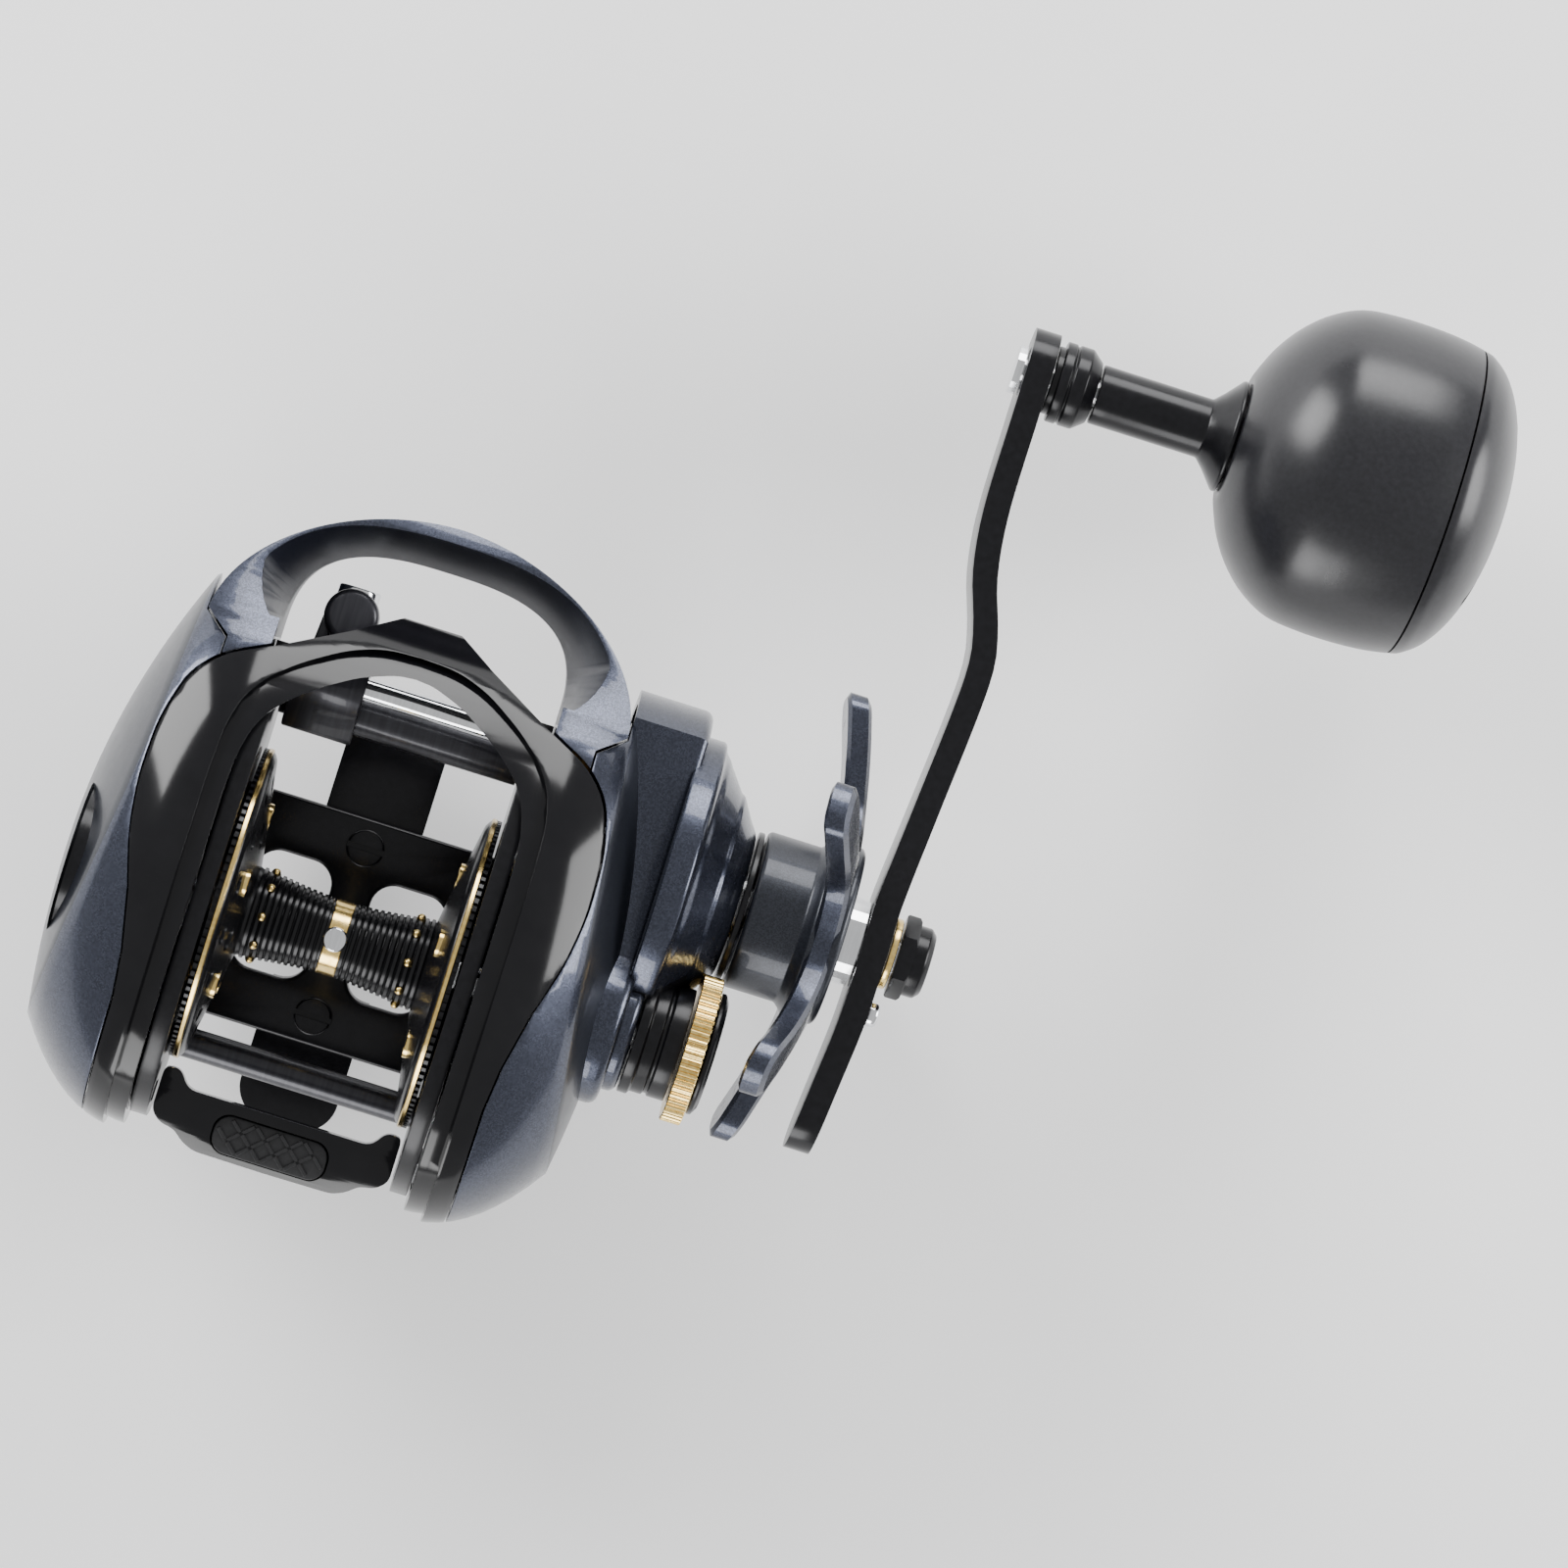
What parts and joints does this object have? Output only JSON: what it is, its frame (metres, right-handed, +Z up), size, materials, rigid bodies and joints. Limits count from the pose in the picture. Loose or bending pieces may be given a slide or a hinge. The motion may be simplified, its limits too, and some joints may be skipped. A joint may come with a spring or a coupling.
{
  "type": "baitcasting fishing reel",
  "caption": "Low-profile baitcasting fishing reel with a single power handle, round knob, star drag, geared spool, sliding line guide and thumb clutch bar.",
  "frame": {"origin": "bottom face of the reel foot, straight below the middle of the spool", "axes": "+X towards the handle side along the spool axis, +Y towards the rod tip, +Z up"},
  "size_m": [0.1708, 0.1556, 0.0656],
  "materials": {
    "body_metallic": "satin metallic grey-blue with fine flake and clear coat",
    "hood_black": "piano black gloss",
    "black_metal": "black anodised, semi-gloss",
    "gold": "gold anodised, bright",
    "bright_steel": "polished steel",
    "gear_brass": "machined brass",
    "carbon_fibre": "woven carbon drag washer",
    "knob_eva": "dense charcoal grip, semi-gloss",
    "pad_rubber": "matt black rubber with a raised pattern"
  },
  "bodies": {
    "frame": {"main_frame": "black_metal", "reel_foot": "black_metal", "foot_screw_rear": "black_metal", "foot_screw_front": "black_metal", "top_hood": "hood_black", "front_cowl": "body_metallic", "palm_cover": "body_metallic", "gear_cover": "body_metallic", "nose_ring": "black_metal", "cast_barrel": "black_metal", "brake_housing": "black_metal", "brake_magnets": "bright_steel", "spool_bearing_palm": "bright_steel", "spool_bearing_gear": "bright_steel", "drive_bearing": "bright_steel", "one_way_clutch": "bright_steel", "yoke_post_upper": "bright_steel", "yoke_post_lower": "bright_steel", "worm_guard": "black_metal", "guide_rod": "bright_steel"},
    "worm": {"worm_shaft": "bright_steel", "worm_gear": "gear_brass"},
    "line_carriage": {"line_guide": "black_metal", "guide_eye": "bright_steel", "guide_pawl": "gear_brass"},
    "spool_group": {"spool": "black_metal", "spool_shaft": "bright_steel", "line_pin": "bright_steel"},
    "crank": {"drive_shaft": "bright_steel", "guide_drive_gear": "gear_brass", "main_gear": "gear_brass", "drag_washer_1": "carbon_fibre", "drag_plate_1": "bright_steel", "drag_washer_2": "carbon_fibre", "drag_plate_2": "bright_steel", "drag_ratchet": "bright_steel", "clutch_sleeve": "bright_steel", "handle_spacer": "bright_steel", "handle_arm": "black_metal", "handle_washer": "gold", "handle_nut": "black_metal", "nut_lock_screw": "bright_steel", "knob_spindle": "bright_steel", "knob_collar": "black_metal"},
    "star": {"star_drag": "body_metallic", "star_nut": "gear_brass"},
    "knob": {"knob_stem": "black_metal", "knob_bearing_inner": "bright_steel", "knob_bearing_outer": "bright_steel", "knob_grip": "knob_eva", "knob_cap": "knob_eva"},
    "cast_control": {"cast_knob": "gold", "cast_cap": "black_metal"},
    "thumb_lever": {"thumb_bar": "hood_black", "thumb_pad": "pad_rubber", "clutch_cam": "bright_steel"},
    "yoke": {"clutch_yoke": "bright_steel"},
    "pinion_gear": {"pinion": "gear_brass"},
    "dial": {"brake_dial": "body_metallic"}
  },
  "joints": [
    {"name": "crank_turn", "type": "hinge", "parent": "frame", "child": "crank", "pos_m": [0.06, 0.02, 0.02103], "axis": [1, 0, 0], "continuous": true},
    {"name": "spool_spin", "type": "hinge", "parent": "frame", "child": "spool_group", "pos_m": [0, 0, 0.0285], "axis": [1, 0, 0], "continuous": true},
    {"name": "worm_turn", "type": "hinge", "parent": "frame", "child": "worm", "pos_m": [0, 0.02959, 0.02153], "axis": [1, 0, 0], "continuous": true},
    {"name": "line_guide_slide", "type": "slide", "parent": "frame", "child": "line_carriage", "axis": [1, 0, 0], "range_m": [0, 0.0218]},
    {"name": "star_turn", "type": "hinge", "parent": "crank", "child": "star", "pos_m": [0.06, 0.02, 0.02103], "axis": [1, 0, 0], "range_deg": [-360, 180]},
    {"name": "knob_spin", "type": "hinge", "parent": "crank", "child": "knob", "pos_m": [0.1, 0.1003, 0.02103], "axis": [1, 0, 0], "continuous": true},
    {"name": "cast_knob_turn", "type": "hinge", "parent": "frame", "child": "cast_control", "pos_m": [0.049, 0, 0.0285], "axis": [1, 0, 0], "range_deg": [-360, 360]},
    {"name": "brake_dial_turn", "type": "hinge", "parent": "frame", "child": "dial", "pos_m": [-0.034, 0, 0.0335], "axis": [1, 0, 0], "range_deg": [-150, 150]},
    {"name": "thumb_press", "type": "slide", "parent": "frame", "child": "thumb_lever", "axis": [0, 0, -1], "range_m": [0, 0.0045], "stiffness_N_per_m": 300, "springref_m": -0.003},
    {"name": "clutch_slide", "type": "slide", "parent": "frame", "child": "yoke", "axis": [1, 0, 0], "range_m": [0, 0.0015]},
    {"name": "pinion_spin", "type": "hinge", "parent": "yoke", "child": "pinion_gear", "pos_m": [0.0275, 0, 0.0285], "axis": [1, 0, 0], "continuous": true}
  ],
  "couplings": [
    {"joint": "spool_spin", "follows": "crank_turn", "ratio": -5.1},
    {"joint": "pinion_spin", "follows": "crank_turn", "ratio": -5.1},
    {"joint": "worm_turn", "follows": "crank_turn", "ratio": -1},
    {"joint": "clutch_slide", "follows": "thumb_press", "ratio": 0.33333}
  ]
}
